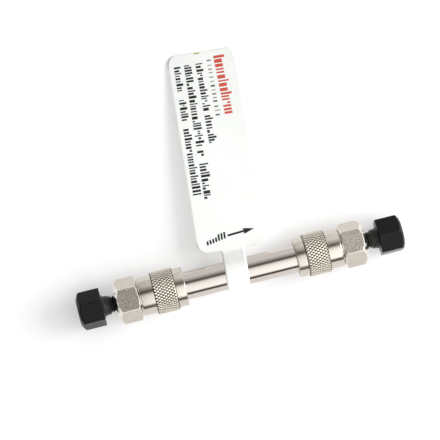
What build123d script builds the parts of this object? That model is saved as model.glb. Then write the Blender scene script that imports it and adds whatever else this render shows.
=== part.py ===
from build123d import *
import math
import os

# HPLC column lying on its side, in millimetres.
# X runs along the column in the direction of flow, Z is up, and the origin is on the axis at the
# middle of the tube. The outlet hardware is drawn at +X; the inlet hardware is the same parts
# turned round.

# ---- Driving dimensions: tube and bed
bed_length = 50.0
bed_diameter = 2.1
bed_clearance = 0.01
tube_diameter = 7.94
tube_edge_break = 0.2

# ---- Retaining ring in its groove near the tube's end
ring_setback = 3.4
ring_thickness = 1.2
ring_width = 1.13
ring_groove_depth = 0.4
ring_gap = 1.4
ring_side_clearance = 0.04
ring_floor_clearance = 0.02

# ---- Frit and its ring, between the tube's end and the end fitting
frit_diameter = 3.0
frit_thickness = 1.0
frit_clearance = 0.01
frit_ring_clearance = 0.05

# ---- Knurled nut
nut_slide_clearance = 0.05
nut_ring_clearance = 0.04
neck_wall = 0.64
neck_length = 3.8
collar_step = 0.1
collar_length = 2.7
knurl_step = 0.55
knurl_length = 6.3
knurl_bevel = 0.35
nut_edge_round = 0.25
nut_mouth_bevel = 0.2
nut_bore_bevel = 0.4

# ---- End fitting: hex, threaded shank, skirt over the tube's end, capillary port
hex_across_flats = 11.11
hex_length = 6.65
hex_gap = 0.3
hex_inner_inset = 0.35
hex_inner_bevel_angle = 30.0
hex_outer_inset = 0.5
hex_outer_bevel_angle = 45.0
shank_thread_clearance = 0.05
shank_relief_depth = 0.36
shank_relief_length = 0.6
skirt_overlap = 1.2
skirt_clearance = 0.03

port_thread_radius = 2.45
port_core_radius = 2.0
port_thread_length = 4.3
port_mouth_bevel = 0.3
port_cone_half_angle = 20.0
capillary_seat_radius = 0.81
capillary_seat_length = 1.4
web_thickness = 0.7
flow_hole_radius = 0.15
flow_cone_depth = 0.35

# ---- Screw plug
plug_thread_clearance = 0.05
plug_nose_radius = 1.0
plug_nose_gap = 0.2
plug_thread_start = 0.45
plug_thread_showing = 1.8
plug_shank_radius = 2.7
plug_shank_length = 2.1
plug_shank_fillet = 0.6
plug_head_across_flats = 9.525
plug_head_length = 6.93
plug_head_outer_inset = 1.0
plug_head_bevel_angle = 30.0
plug_head_round = 0.4

# ---- How each hex is turned about the axis, from a flat facing up (towards -Y is positive)
outlet_hex_turn = 0.0
outlet_plug_turn = 30.0
inlet_hex_turn = 6.5
inlet_plug_turn = 18.0

# ---- Label tag: film looped round the tube and stuck to itself as a flag
film_thickness = 0.18
loop_clearance = 0.03
loop_reach = 6.2
loop_bend_radius = 1.5
glue_line = 0.03
neck_width = 6.4
neck_offset = -1.1
tag_lean = 5.0
flag_width = 19.5
flag_start = 7.0
flag_length = 58.3
flag_corner_radius = 2.6
flag_root_radius = 0.8
tag_floor_gap = 0.05

# ---- Places along the column, from the tube's middle outwards
tube_end = bed_length / 2
ring_outer_side = tube_end - ring_setback
ring_inner_side = ring_outer_side - ring_thickness
fitting_seat = tube_end + frit_thickness
capillary_floor = fitting_seat + web_thickness
capillary_mouth = capillary_floor + capillary_seat_length
cone_slope = math.tan(math.radians(port_cone_half_angle))
cone_end = capillary_mouth + (port_core_radius - capillary_seat_radius) / cone_slope
port_mouth = cone_end + port_thread_length
hex_start = port_mouth - hex_length
nut_outer_end = hex_start - hex_gap
knurl_outer_end = nut_outer_end - neck_length
knurl_inner_end = knurl_outer_end - knurl_length
nut_inner_end = knurl_inner_end - collar_length
skirt_end = tube_end - skirt_overlap

# ---- Radii
tube_radius = tube_diameter / 2
bed_radius = bed_diameter / 2
ring_groove_radius = tube_radius - ring_groove_depth
ring_inner_radius = ring_groove_radius + ring_floor_clearance
ring_outer_radius = ring_inner_radius + ring_width
nut_bore_radius = tube_radius + nut_slide_clearance
nut_thread_radius = ring_outer_radius + nut_ring_clearance
neck_radius = nut_thread_radius + neck_wall
collar_radius = neck_radius + collar_step
knurl_radius = collar_radius + knurl_step
shank_radius = nut_thread_radius - shank_thread_clearance
shank_relief_radius = shank_radius - shank_relief_depth
skirt_bore_radius = tube_radius + skirt_clearance
frit_ring_radius = skirt_bore_radius - frit_ring_clearance
plug_thread_radius = port_thread_radius - plug_thread_clearance


def turned(outline, rounds=()):
    """Turn a closed outline of (along, radius) corners about the X axis.

    rounds lists (corner, radius) pairs for the corners that are rounded.
    """
    section = make_face(Polyline(*outline, close=True))
    for corner, radius in rounds:
        vertex = section.vertices().sort_by_distance((corner[0], corner[1], 0))[0]
        section = fillet(vertex, radius)
    return revolve(section, Axis.X)


def bevel_corners(end, inward, flat_radius, beyond, inset, angle):
    """Outline corners that turn a hex bar's corners off at one end, from its face outwards.

    inward is the direction into the bar; inset is how far inside the flats the bevel starts on the
    face. With no inset and no angle the end stays square.
    """
    face_radius = flat_radius - inset if angle else beyond
    run = (beyond - face_radius) * math.tan(math.radians(angle))
    return [(end, face_radius), (end + inward * run, beyond)] if angle else [(end, beyond)]


def hex_bar(start, end, across_flats, start_bevel, end_bevel, end_round=0.0):
    """A hex bar along X with a flat facing up, beveled by an (inset, angle) pair at each end."""
    flat_radius = across_flats / 2
    beyond = flat_radius / math.cos(math.radians(30)) + 1
    bar = extrude(
        Plane.YZ.offset(start) * RegularPolygon(flat_radius, 6, major_radius=False),
        amount=end - start,
    )
    start_corners = bevel_corners(start, 1, flat_radius, beyond, *start_bevel)
    end_corners = bevel_corners(end, -1, flat_radius, beyond, *end_bevel)
    outline = [(start, 0)] + start_corners + end_corners[::-1] + [(end, 0)]
    rounds = [(end_corners[0], end_round)] if end_round else []
    return bar & turned(outline, rounds)


def at_outlet(shape, turn=0.0):
    """Outlet hardware stays at +X, turned about the axis."""
    return Rot(turn, 0, 0) * shape


def at_inlet(shape, turn=0.0):
    """Inlet hardware is the same part turned end for end, then turned about the axis."""
    return Rot(turn, 0, 0) * Rot(0, 0, 180) * shape


def make_column_tube():
    """Thick-walled tube with a groove near each end for the retaining ring."""
    blank = turned(
        [
            (-tube_end, bed_radius),
            (-tube_end, tube_radius - tube_edge_break),
            (-tube_end + tube_edge_break, tube_radius),
            (tube_end - tube_edge_break, tube_radius),
            (tube_end, tube_radius - tube_edge_break),
            (tube_end, bed_radius),
        ]
    )
    groove = turned(
        [
            (ring_inner_side - ring_side_clearance, ring_groove_radius),
            (ring_inner_side - ring_side_clearance, tube_radius + 1),
            (ring_outer_side, tube_radius + 1),
            (ring_outer_side, ring_groove_radius),
        ]
    )
    return blank - groove - at_inlet(groove)


def make_packed_bed():
    """The packed bed fills the bore from one frit to the other."""
    radius = bed_radius - bed_clearance
    return turned([(-tube_end, 0), (-tube_end, radius), (tube_end, radius), (tube_end, 0)])


def make_retaining_ring():
    """Split ring that sits in the tube's groove, its gap turned to the underside."""
    ring = turned(
        [
            (ring_inner_side, ring_inner_radius),
            (ring_inner_side, ring_outer_radius),
            (ring_outer_side, ring_outer_radius),
            (ring_outer_side, ring_inner_radius),
        ]
    )
    middle = (ring_inner_side + ring_outer_side) / 2
    gap = Pos(middle, 0, -ring_outer_radius) * Box(ring_thickness * 2, ring_gap, ring_outer_radius)
    return ring - gap


def make_frit():
    """Porous disc in the middle of its ring."""
    radius = frit_diameter / 2 - frit_clearance
    return turned([(tube_end, 0), (tube_end, radius), (fitting_seat, radius), (fitting_seat, 0)])


def make_frit_ring():
    """Plastic ring that carries the frit and seals the tube's end to the end fitting."""
    inner = frit_diameter / 2
    return turned(
        [
            (tube_end, inner),
            (tube_end, frit_ring_radius),
            (fitting_seat, frit_ring_radius),
            (fitting_seat, inner),
        ]
    )


def make_knurled_nut():
    """Collar, knurled band and neck, bored to slide on the tube and pull against the ring."""
    outline = [
        (nut_inner_end + nut_bore_bevel, nut_bore_radius),
        (nut_inner_end, nut_bore_radius + nut_bore_bevel),
        (nut_inner_end, collar_radius),
        (knurl_inner_end, collar_radius),
        (knurl_inner_end, knurl_radius - knurl_bevel),
        (knurl_inner_end + knurl_bevel, knurl_radius),
        (knurl_outer_end - knurl_bevel, knurl_radius),
        (knurl_outer_end, knurl_radius - knurl_bevel),
        (knurl_outer_end, neck_radius),
        (nut_outer_end, neck_radius),
        (nut_outer_end, nut_thread_radius + nut_mouth_bevel),
        (nut_outer_end - nut_mouth_bevel, nut_thread_radius),
        (ring_inner_side, nut_thread_radius),
        (ring_inner_side, nut_bore_radius),
    ]
    rounds = [
        ((nut_inner_end, collar_radius), nut_edge_round),
        ((nut_outer_end, neck_radius), nut_edge_round),
    ]
    return turned(outline, rounds)


def make_port():
    """The space cut from an end fitting: thread bore, cone, capillary seat and flow hole."""
    return turned(
        [
            (fitting_seat, 0),
            (fitting_seat, bed_radius),
            (fitting_seat + flow_cone_depth, flow_hole_radius),
            (capillary_floor, flow_hole_radius),
            (capillary_floor, capillary_seat_radius),
            (capillary_mouth, capillary_seat_radius),
            (cone_end, port_core_radius),
            (cone_end, port_thread_radius),
            (port_mouth - port_mouth_bevel, port_thread_radius),
            (port_mouth, port_thread_radius + port_mouth_bevel),
            (port_mouth, 0),
        ]
    )


def make_end_fitting():
    """Hex with a threaded shank for the nut and a thin skirt that centres the tube's end."""
    shank = turned(
        [
            (fitting_seat, 0),
            (fitting_seat, skirt_bore_radius),
            (skirt_end, skirt_bore_radius),
            (skirt_end, shank_relief_radius),
            (fitting_seat, shank_relief_radius),
            (fitting_seat + shank_relief_depth, shank_radius),
            (hex_start - shank_relief_length, shank_radius),
            (hex_start - shank_relief_length, shank_relief_radius),
            (hex_start, shank_relief_radius),
            (hex_start, 0),
        ]
    )
    body = hex_bar(
        hex_start,
        port_mouth,
        hex_across_flats,
        (hex_inner_inset, hex_inner_bevel_angle),
        (hex_outer_inset, hex_outer_bevel_angle),
    )
    return shank + body - make_port()


def make_plug():
    """Hex-headed screw plug: filleted shank, thread body and a nose that follows the port's cone."""
    nose_tip = capillary_mouth + (plug_nose_radius - capillary_seat_radius) / cone_slope + plug_nose_gap
    nose_base_radius = plug_thread_radius - plug_thread_start
    nose_base = nose_tip + (nose_base_radius - plug_nose_radius) / cone_slope
    shank_start = port_mouth + plug_thread_showing
    head_start = shank_start + plug_shank_length
    shank_step = plug_shank_radius - plug_thread_radius
    flare_radius = plug_shank_radius + plug_shank_fillet
    stem = turned(
        [
            (nose_tip, 0),
            (nose_tip, plug_nose_radius),
            (nose_base, nose_base_radius),
            (nose_base + plug_thread_start, plug_thread_radius),
            (shank_start, plug_thread_radius),
            (shank_start + shank_step, plug_shank_radius),
            (head_start, plug_shank_radius),
            (head_start, flare_radius + plug_shank_fillet),
            (head_start + plug_shank_fillet, flare_radius + plug_shank_fillet),
            (head_start + plug_shank_fillet, 0),
        ],
        rounds=[((head_start, plug_shank_radius), plug_shank_fillet)],
    )
    head = hex_bar(
        head_start,
        head_start + plug_head_length,
        plug_head_across_flats,
        (0.0, 0.0),
        (plug_head_outer_inset, plug_head_bevel_angle),
        plug_head_round,
    )
    return stem + head


def flag_far_reach():
    """How far the flag's farthest point lies behind the axis, seen from above."""
    lean = math.radians(tag_lean)
    corner_along = flag_start + flag_length - flag_corner_radius
    corner_across = flag_width / 2 - flag_corner_radius
    return corner_along * math.cos(lean) + corner_across * math.sin(lean) + flag_corner_radius


def tag_droop():
    """The slope, in degrees, that lays the flag's far end on the surface under the nuts."""
    reach = flag_far_reach()
    drop = knurl_radius - tag_floor_gap
    return math.degrees(math.atan2(drop, reach) - math.asin(film_thickness / math.hypot(reach, drop)))


def make_tag_section():
    """Section of the film across the tube: a loop whose plies bend together into the flag."""
    loop_inner = tube_radius + loop_clearance
    loop_outer = loop_inner + film_thickness
    half_wedge = math.asin(loop_inner / loop_reach)
    leave = math.pi / 2 - half_wedge
    bend_inner = loop_bend_radius + film_thickness
    bend_centre = loop_reach + bend_inner * math.tan(half_wedge / 2)
    bend_closed = math.acos(1 - glue_line / bend_inner)
    flag_end = flag_far_reach() + flag_start

    def on_loop(radius, side):
        return (radius * math.cos(leave), side * radius * math.sin(leave))

    def on_bend(radius, angle, side):
        along = bend_centre - radius * math.sin(angle)
        return (along, side * (bend_inner - radius * math.cos(angle)))

    outer = (
        Line((flag_end, film_thickness), on_bend(loop_bend_radius, 0, 1))
        + ThreePointArc(
            on_bend(loop_bend_radius, 0, 1),
            on_bend(loop_bend_radius, half_wedge / 2, 1),
            on_bend(loop_bend_radius, half_wedge, 1),
        )
        + Line(on_bend(loop_bend_radius, half_wedge, 1), on_loop(loop_outer, 1))
        + ThreePointArc(on_loop(loop_outer, 1), (-loop_outer, 0), on_loop(loop_outer, -1))
        + Line(on_loop(loop_outer, -1), on_bend(loop_bend_radius, half_wedge, -1))
        + ThreePointArc(
            on_bend(loop_bend_radius, half_wedge, -1),
            on_bend(loop_bend_radius, half_wedge / 2, -1),
            on_bend(loop_bend_radius, 0, -1),
        )
        + Line(on_bend(loop_bend_radius, 0, -1), (flag_end, -film_thickness))
        + Line((flag_end, -film_thickness), (flag_end, film_thickness))
    )
    mid_bend = (half_wedge + bend_closed) / 2
    inner = (
        Line(on_bend(bend_inner, bend_closed, -1), on_bend(bend_inner, bend_closed, 1))
        + ThreePointArc(
            on_bend(bend_inner, bend_closed, 1),
            on_bend(bend_inner, mid_bend, 1),
            on_bend(bend_inner, half_wedge, 1),
        )
        + Line(on_bend(bend_inner, half_wedge, 1), on_loop(loop_inner, 1))
        + ThreePointArc(on_loop(loop_inner, 1), (-loop_inner, 0), on_loop(loop_inner, -1))
        + Line(on_loop(loop_inner, -1), on_bend(bend_inner, half_wedge, -1))
        + ThreePointArc(
            on_bend(bend_inner, half_wedge, -1),
            on_bend(bend_inner, mid_bend, -1),
            on_bend(bend_inner, bend_closed, -1),
        )
    )
    return make_face(outer) - make_face(inner)


def make_tag_outline():
    """The tag's cut outline seen from above: a narrow neck that widens into the flag."""
    loop_back = tube_radius * 2
    neck_length_cut = loop_back + flag_start + flag_corner_radius
    neck = Pos(0, neck_length_cut / 2 - loop_back) * Rectangle(neck_width, neck_length_cut)
    flag = Pos(0, flag_start + flag_length / 2) * RectangleRounded(
        flag_width, flag_length, flag_corner_radius
    )
    outline = neck + flag
    for side in (-1, 1):
        root = outline.vertices().sort_by_distance((side * neck_width / 2, flag_start, 0))[0]
        outline = fillet(root, flag_root_radius)
    return Pos(neck_offset, 0) * Rot(0, 0, -tag_lean) * outline


def make_label_tag():
    """The section run along the tube, cut to the outline and laid down to the surface."""
    half_run = flag_far_reach()
    film = extrude(Plane.YZ * make_tag_section(), amount=half_run, both=True)
    film = Rot(-tag_droop(), 0, 0) * film
    cutter = extrude(make_tag_outline(), amount=knurl_radius * 2, both=True)
    return film & cutter


def save(name, shape):
    """Write one node, as its single solid, to the parts folder."""
    solids = shape.solids()
    solid = solids[0] if len(solids) == 1 else Compound(solids)
    export_step(solid, f"parts/{name}.step")


os.makedirs("parts", exist_ok=True)
save("column_tube", make_column_tube())
save("packed_bed", make_packed_bed())
save("label_tag", make_label_tag())

frit = make_frit()
frit_ring = make_frit_ring()
retaining_ring = make_retaining_ring()
knurled_nut = make_knurled_nut()
end_fitting = make_end_fitting()
plug = make_plug()

for end_name, place, hex_turn, plug_turn in (
    ("inlet", at_inlet, inlet_hex_turn, inlet_plug_turn),
    ("outlet", at_outlet, outlet_hex_turn, outlet_plug_turn),
):
    save(f"{end_name}_frit", place(frit))
    save(f"{end_name}_frit_ring", place(frit_ring))
    save(f"{end_name}_retaining_ring", place(retaining_ring))
    save(f"{end_name}_knurled_nut", place(knurled_nut))
    save(f"{end_name}_end_fitting", place(end_fitting, hex_turn))
    save(f"{end_name}_plug", place(plug, plug_turn))
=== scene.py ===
# %% [markdown]
# # A packed column for liquid chromatography
# The object is a steel tube packed with silica, closed at each end by a frit, a hex end fitting
# and a knurled nut, with a black screw plug in each port and a film tag looped round the middle.
# It lies on its side, so the X axis runs along it, Z is up and the tag lies behind it at +Y.
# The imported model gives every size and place, and this script only adds shape detail and finish.

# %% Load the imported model
import math

import bpy
import numpy as np
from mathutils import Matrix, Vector


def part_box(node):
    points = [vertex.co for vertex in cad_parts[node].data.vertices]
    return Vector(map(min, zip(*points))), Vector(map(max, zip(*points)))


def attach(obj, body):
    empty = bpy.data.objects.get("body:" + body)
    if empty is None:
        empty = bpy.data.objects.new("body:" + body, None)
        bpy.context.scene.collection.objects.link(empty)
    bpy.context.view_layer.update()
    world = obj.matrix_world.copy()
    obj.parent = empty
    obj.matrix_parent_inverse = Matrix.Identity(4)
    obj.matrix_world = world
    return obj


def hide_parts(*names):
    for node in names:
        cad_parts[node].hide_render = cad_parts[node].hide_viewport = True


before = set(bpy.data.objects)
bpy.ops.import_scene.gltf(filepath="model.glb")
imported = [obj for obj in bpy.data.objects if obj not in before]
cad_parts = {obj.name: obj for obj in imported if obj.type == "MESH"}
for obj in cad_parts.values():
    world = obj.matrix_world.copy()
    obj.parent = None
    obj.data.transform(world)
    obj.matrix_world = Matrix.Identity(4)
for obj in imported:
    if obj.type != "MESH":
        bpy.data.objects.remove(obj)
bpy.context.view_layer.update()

# %% [markdown]
# ## Sizes
# A turned part is easiest to think about in millimetres, so every size below is in millimetres
# and one helper makes metres of them at the end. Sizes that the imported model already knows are
# read from the boxes of its nodes, so that they can't drift apart from it.

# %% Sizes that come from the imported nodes
MM = 0.001


def box_mm(node):
    """Lowest and highest corners of a node, in millimetres."""
    low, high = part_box(node)
    return np.array(low) / MM, np.array(high) / MM


nut_low, nut_high = box_mm("outlet_knurled_nut")
fitting_low, fitting_high = box_mm("outlet_end_fitting")
plug_low, plug_high = box_mm("outlet_plug")

tube_end, _, tube_radius = box_mm("column_tube")[1]
nut_inner_end, nut_outer_end, knurl_radius = nut_low[0], nut_high[0], nut_high[2]
skirt_end, port_mouth, hex_flat = fitting_low[0], fitting_high[0], fitting_high[2]
nose_tip, head_end, head_flat = plug_low[0], plug_high[0], plug_high[1]
ring_inner_side, ring_outer_side = (side[0] for side in box_mm("outlet_retaining_ring"))
fitting_seat = box_mm("outlet_frit")[1][0]
floor_height = min(nut_low[2], box_mm("label_tag")[0][2])
print(f"tube radius {tube_radius:.2f}, knurl {knurl_radius:.2f}, hex flats {2 * hex_flat:.2f},"
      f" plug flats {2 * head_flat:.2f}, floor at {floor_height:.2f}")

# %% [markdown]
# ## One helper for every surface
# A lathe, a milling cutter and a folded film all make surfaces that two numbers can walk over:
# one along the outline and one across it. The helper takes such a grid of points and joins
# neighbours with four-sided faces. A row whose points all meet is a pole, and there the faces
# become triangles, so the skin closes without a hole or a doubled point.

# %% Grid of points to mesh object
same_place = 1e-9


def placed(name, data):
    """An object that holds the data, linked to the scene."""
    thing = bpy.data.objects.new(name, data)
    bpy.context.scene.collection.objects.link(thing)
    return thing


def skin(name, points, loop_rows=False, loop_columns=True, keep=None, turn_faces=None):
    """A mesh object from a grid of points [row, column, xyz] in millimetres.

    Face (i, j) joins points (i, j), (i, j+1), (i+1, j+1) and (i+1, j). loop_rows and
    loop_columns join the last row or column back to the first. keep picks the faces that are
    made, and turn_faces the ones whose first corner moves on by one, which turns the diagonal
    that splits them.
    """
    rows, columns = points.shape[:2]
    index = np.arange(rows * columns).reshape(rows, columns)
    pole = np.ptp(points, axis=1).max(axis=1) < same_place
    index[pole] = index[pole, :1]
    if loop_rows:
        index = np.vstack([index, index[:1]])
    if loop_columns:
        index = np.hstack([index, index[:, :1]])
    quads = np.stack([index[:-1, :-1], index[:-1, 1:], index[1:, 1:], index[1:, :-1]], axis=-1)
    if turn_faces is not None:
        quads = np.where(turn_faces[..., None], np.roll(quads, -1, axis=-1), quads)
    quads = quads[keep] if keep is not None else quads.reshape(-1, 4)
    real_corner = quads != np.roll(quads, 1, axis=1)
    corners = quads[real_corner]
    sides = real_corner.sum(axis=1)
    used, corners = np.unique(corners, return_inverse=True)

    mesh = bpy.data.meshes.new(name)
    mesh.vertices.add(len(used))
    mesh.vertices.foreach_set("co", (points.reshape(-1, 3)[used] * MM).ravel())
    mesh.loops.add(len(corners))
    mesh.loops.foreach_set("vertex_index", corners.ravel().astype(np.int32))
    mesh.polygons.add(len(sides))
    mesh.polygons.foreach_set("loop_start", (np.cumsum(sides) - sides).astype(np.int32))
    mesh.polygons.foreach_set("use_smooth", np.ones(len(sides), bool))
    mesh.update(calc_edges=True)
    mesh.validate()
    print(f"{name}: {len(used)} points, {len(sides)} faces")
    return placed(name, mesh)


# %% [markdown]
# ## Crisp edges that still catch light
# No machined edge is truly sharp: the burr is broken off, and that thin bevel is what shines.
# The outline helper rounds chosen corners, and the shading helper keeps the flats beside them
# flat. It marks creases by angle and weights each normal by face area, which a Weighted Normal
# modifier does without moving a point.

# %% Outlines with eased corners
ease_steps = 5


def outline(angles, *parts):
    """Rows [row, column, (along, radius)] of an outline carried round by the angles.

    A part is a corner (along, radius, setback), or ready-made rows such as a thread. Each corner
    with a setback becomes a curve with the corner as its control point, which starts and ends
    that far from it: p = (1-t)^2 before + 2t(1-t) corner + t^2 after.
    """
    blocks, setbacks = [], []
    for part in parts:
        if isinstance(part, np.ndarray):
            blocks.append(part)
            setbacks.append(0)
        else:
            along, radius, setback = part
            row = np.broadcast_arrays(along, radius, angles)[:2]
            blocks.append(np.stack(row, axis=-1)[None].astype(float))
            setbacks.append(setback)
    t = np.linspace(0, 1, ease_steps)[:, None, None]
    eased = []
    for number, (block, setback) in enumerate(zip(blocks, setbacks)):
        if not setback:
            eased.append(block)
            continue
        corner = block[0]
        before = blocks[number - 1][-1] - corner
        after = blocks[(number + 1) % len(blocks)][0] - corner
        before *= setback / np.linalg.norm(before, axis=-1, keepdims=True)
        after *= setback / np.linalg.norm(after, axis=-1, keepdims=True)
        eased.append(corner + (1 - t) ** 2 * before + t ** 2 * after)
    return np.concatenate(eased)


def turned(rows, angles):
    """Carries an outline round X: y = -radius sin(angle), z = radius cos(angle)."""
    along, radius = rows[..., 0], rows[..., 1]
    return np.stack([along, -radius * np.sin(angles), radius * np.cos(angles)], axis=-1)


def at_end(points, end, turn=0.0):
    """Leaves outlet points at +X or swings inlet points half round Z, then turns about X."""
    if end == "inlet":
        points = points * (-1, -1, 1)
    c, s = math.cos(math.radians(turn)), math.sin(math.radians(turn))
    return points @ np.array([[1, 0, 0], [0, c, -s], [0, s, c]]).T


broad_face_weight = 80


def crisp(piece, crease=35):
    """Marks creases sharper than the angle and lets broad faces lead the shading."""
    piece.data.set_sharp_from_angle(angle=math.radians(crease))
    shading = piece.modifiers.new("flat_faces", "WEIGHTED_NORMAL")
    shading.keep_sharp = True
    shading.weight = broad_face_weight
    return piece


# %% [markdown]
# ## Placing a piece in the model
# Each new piece takes its finishes, rides on the body that it moves with and hides the
# imported node that it replaces. One helper does all three, so none is forgotten.

# %% Paint a piece and seat it on its body
def paint(piece, finish):
    """Says which of its finishes each face of a piece takes, as an array of their numbers."""
    piece.data.polygons.foreach_set("material_index", finish.ravel().astype(np.int32))


def seat(piece, body, node, slot_name, *finishes):
    """Puts the finishes on a piece, rides it on a body and hides the node that it replaces."""
    for finish in finishes:
        piece.data.materials.append(finish)
    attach(piece, body)
    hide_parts(node)
    return piece


# %% [markdown]
# ## Finishes: a node helper
# Every finish here is built from noise and waves read at Object coordinates, which are metres
# from the origin. The pattern then stays on the metal from every side and in every pose. A few
# words per node keep the recipes short enough to read.

# %% Node helper
class Wiring:
    """Short calls for the nodes of a shader tree, whose patterns are read at one coordinate."""

    def __init__(self, tree, coordinate):
        self.nodes, self.links = tree.nodes, tree.links
        self.place = self.nodes.new("ShaderNodeTexCoord").outputs[coordinate]

    def axes(self):
        """The coordinate's X, Y and Z."""
        split = self.nodes.new("ShaderNodeSeparateXYZ")
        self.links.new(self.place, split.inputs["Vector"])
        return split.outputs

    def spread(self, value, low, high, from_low=0.3, from_high=0.7):
        """Maps a pattern's range to another range."""
        node = self.nodes.new("ShaderNodeMapRange")
        for socket, number in zip(("From Min", "From Max", "To Min", "To Max"),
                                  (from_low, from_high, low, high)):
            node.inputs[socket].default_value = number
        self.links.new(value, node.inputs["Value"])
        return node.outputs["Result"]

    def tint(self, value, *stops):
        """Colours along a pattern, given as (position, red, green, blue) in rising order.

        A ramp sorts its stops as they move, so each inner stop is made at its final place.
        """
        node = self.nodes.new("ShaderNodeValToRGB")
        ramp = node.color_ramp.elements
        for element, stop in ((ramp[0], stops[0]), (ramp[-1], stops[-1])):
            element.position, element.color = stop[0], (*stop[1:], 1)
        for position, *colour in stops[1:-1]:
            ramp.new(position).color = (*colour, 1)
        self.links.new(value, node.inputs["Fac"])
        return node.outputs["Color"]

    def joined(self, first, second, operation="ADD"):
        """Arithmetic between two patterns, or a pattern and a number."""
        node = self.nodes.new("ShaderNodeMath")
        node.operation = operation
        for socket, item in zip(node.inputs, (first, second)):
            if isinstance(item, (int, float)):
                socket.default_value = item
            else:
                self.links.new(item, socket)
        return node.outputs["Value"]


# %% Material recipe helper
class Recipe(Wiring):
    """A material with its Principled shader, and short calls for the patterns that feed it."""

    def __init__(self, name, **values):
        self.material = bpy.data.materials.new(name)
        self.material.use_nodes = True
        super().__init__(self.material.node_tree, "Object")
        self.shader = self.nodes["Principled BSDF"]
        for socket, value in values.items():
            self.shader.inputs[socket.replace("_", " ")].default_value = value

    def stretched(self, along, across):
        """Object coordinates scaled apart along the X axis and across it."""
        mapping = self.nodes.new("ShaderNodeMapping")
        mapping.inputs["Scale"].default_value = (along, across, across)
        self.links.new(self.place, mapping.inputs["Vector"])
        return mapping.outputs["Vector"]

    def noise(self, scale, vector=None, detail=3.0, roughness=0.5):
        """Cloudy noise with this many lumps to the metre."""
        node = self.nodes.new("ShaderNodeTexNoise")
        for socket, number in (("Scale", scale), ("Detail", detail), ("Roughness", roughness)):
            node.inputs[socket].default_value = number
        self.links.new(vector or self.place, node.inputs["Vector"])
        return node.outputs["Fac"]

    def grains(self, scale):
        """Distance to the nearest grain centre, for powders and pores."""
        node = self.nodes.new("ShaderNodeTexVoronoi")
        node.inputs["Scale"].default_value = scale
        self.links.new(self.place, node.inputs["Vector"])
        return node.outputs["Distance"]

    def axis_distance(self):
        """Distance from the column's axis, sqrt(y^2 + z^2), in metres."""
        axes = self.axes()
        squares = [self.joined(axes[name], 2.0, "POWER") for name in "YZ"]
        return self.joined(self.joined(*squares), 0.5, "POWER")

    def feed(self, socket, value):
        """Sends a pattern to a socket of the shader."""
        self.links.new(value, self.shader.inputs[socket])

    def colour(self, value, *stops):
        """Colours the surface along a pattern, with the stops of tint."""
        self.feed("Base Color", self.tint(value, *stops))

    def rough(self, value, *limits):
        """Makes the surface smoother and rougher with a pattern, between the limits of spread."""
        self.feed("Roughness", self.spread(value, *limits))

    def bump(self, height, depth_mm):
        """Raises the surface by a pattern, as deep as depth_mm between 0 and 1."""
        node = self.nodes.new("ShaderNodeBump")
        node.inputs["Strength"].default_value = 1.0
        node.inputs["Distance"].default_value = depth_mm * MM
        self.links.new(height, node.inputs["Height"])
        self.feed("Normal", node.outputs["Normal"])


# %% [markdown]
# ## Steel, from mirror to grain
# All the metal is one stainless steel, cut in different ways. The tube is ground and polished,
# so it mirrors the room with faint streaks. The nuts are turned, with rings too fine to count
# that blur reflections across them. The hex flats are as drawn and tumbled, which makes them
# grainy and grey. Some colours stand in for light: the bevels are a lighter copy of the steel, a
# painted highlight, and the inlet hex's top flat a darker one, a painted shade. The knurl's tips
# are painted light and its pits dark, and the recess where each nut meets the tube is painted
# dark, all painted highlight and shade.

# %% Polished and turned steel
POLISHED_TINT = (0.62, 0.57, 0.53, 1)
TURNED_TINT = (0.62, 0.575, 0.51, 1)
# Lighter than the turned tint: a painted highlight on the fittings' bevels and hex edges.
BEVEL_HIGHLIGHT_TINT = (0.80, 0.76, 0.69, 1)
# Near-black copy of the turned steel: a painted shade for the recess where each nut meets the tube.
RECESS_SHADE_TINT = (0.11, 0.095, 0.08, 1)


def polished_steel():
    """Mirror-like steel with long faint streaks and cloudy wipe marks."""
    steel = Recipe("polished_steel", Base_Color=POLISHED_TINT, Metallic=1.0)
    streaks = steel.noise(1.0, steel.stretched(60, 1400), detail=4)
    wiping = steel.noise(220, detail=2)
    steel.feed("Roughness", steel.joined(steel.spread(streaks, 0.04, 0.10),
                                         steel.spread(wiping, 0.02, 0.06)))
    steel.bump(streaks, 0.0012)
    return steel.material


def turned_steel(name, colour, smooth, rough, ring_depth):
    """Steel cut on a lathe: rings along X set the roughness and a very shallow bump."""
    steel = Recipe(name, Base_Color=colour, Metallic=1.0)
    rings = steel.noise(1.0, steel.stretched(16000, 260), detail=3)
    patches = steel.noise(700, detail=3)
    steel.feed("Roughness", steel.joined(steel.spread(rings, smooth, rough),
                                         steel.spread(patches, -0.03, 0.04)))
    steel.bump(rings, ring_depth)
    return steel.material


def knurl_painted_shade_steel():
    """Rolled pyramids: the light tips are a painted highlight and the dark pits a painted shade.

    The colour follows the distance from the axis, between pit and tip.
    """
    steel = Recipe("knurl_painted_shade_steel", Metallic=1.0)
    # Colour by height from the axis: painted shade in the pits, painted highlight on the tips.
    height = steel.spread(steel.axis_distance(), 0.0, 1.0,
                          (knurl_radius - 0.33) * MM, knurl_radius * MM)
    wear = steel.spread(steel.noise(2600, detail=3), -0.08, 0.08)
    steel.colour(steel.joined(height, wear), (0.10, 0.012, 0.010, 0.008),
                 (0.42, 0.09, 0.076, 0.060), (0.60, 0.62, 0.57, 0.49), (0.88, 0.86, 0.81, 0.71))
    steel.rough(steel.noise(3400, detail=3), 0.40, 0.52)
    return steel.material


polished = polished_steel()
turned_finish = turned_steel("turned_steel", TURNED_TINT, 0.11, 0.23, 0.004)
knurl_shade_finish = knurl_painted_shade_steel()
bevel_finish = turned_steel("bevel_steel_painted_highlight", BEVEL_HIGHLIGHT_TINT, 0.12, 0.24, 0.003)
recess_shade_finish = turned_steel("recess_painted_shade_steel", RECESS_SHADE_TINT, 0.30, 0.45, 0.004)
print("finishes:", polished.name, turned_finish.name, knurl_shade_finish.name, bevel_finish.name,
      recess_shade_finish.name)


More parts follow.
